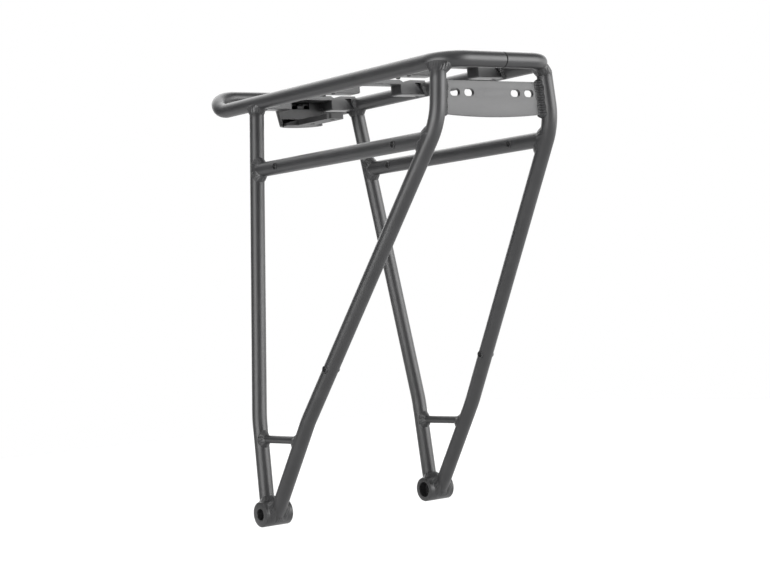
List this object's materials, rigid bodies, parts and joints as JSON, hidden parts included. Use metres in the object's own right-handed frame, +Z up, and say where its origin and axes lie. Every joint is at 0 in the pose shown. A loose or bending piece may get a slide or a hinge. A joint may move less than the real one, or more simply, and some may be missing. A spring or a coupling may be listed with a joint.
{
  "type": "bicycle rear rack",
  "caption": "Welded tubular rear rack for a bicycle, with a turned-up front loop, ribbed cross bars, a tail-light plate, side rails and a spring latch for bags.",
  "frame": {"origin": "on the axis of the two dropout bolts, midway between the bosses", "axes": "+X to the bicycle's right, +Y forward, +Z up"},
  "size_m": [0.2134, 0.3746, 0.4049],
  "materials": {
    "powder_coated_aluminium": "satin powder coat",
    "zinc_plated_steel": "black zinc plate",
    "black_nylon": "moulded, matt",
    "spring_steel": "drawn wire"
  },
  "bodies": {
    "rack": {"axle_boss_left": "powder_coated_aluminium", "axle_boss_right": "powder_coated_aluminium", "cross_bar_front": "powder_coated_aluminium", "cross_bar_middle": "powder_coated_aluminium", "cross_bar_rear": "powder_coated_aluminium", "front_leg_left": "powder_coated_aluminium", "front_leg_right": "powder_coated_aluminium", "latch_cover": "black_nylon", "latch_housing": "black_nylon", "latch_screw_left": "zinc_plated_steel", "latch_screw_right": "zinc_plated_steel", "leg_insert_left": "zinc_plated_steel", "leg_insert_right": "zinc_plated_steel", "lever_pin": "zinc_plated_steel", "lever_spring": "spring_steel", "light_plate": "powder_coated_aluminium", "lower_brace_left": "powder_coated_aluminium", "lower_brace_right": "powder_coated_aluminium", "rail_insert_left_front": "zinc_plated_steel", "rail_insert_left_rear": "zinc_plated_steel", "rail_insert_right_front": "zinc_plated_steel", "rail_insert_right_rear": "zinc_plated_steel", "rear_leg_left": "powder_coated_aluminium", "rear_leg_right": "powder_coated_aluminium", "side_rail_left": "powder_coated_aluminium", "side_rail_right": "powder_coated_aluminium", "top_hoop": "powder_coated_aluminium"},
    "latch_lever": {"release_lever": "black_nylon"}
  },
  "joints": [
    {"name": "lever_hinge", "type": "hinge", "parent": "rack", "child": "latch_lever", "pos_m": [0, 0.055, 0.36325], "axis": [-1, 0, 0], "range_deg": [0, 10], "stiffness_Nm_per_rad": 0.35, "springref_deg": -28.65}
  ]
}
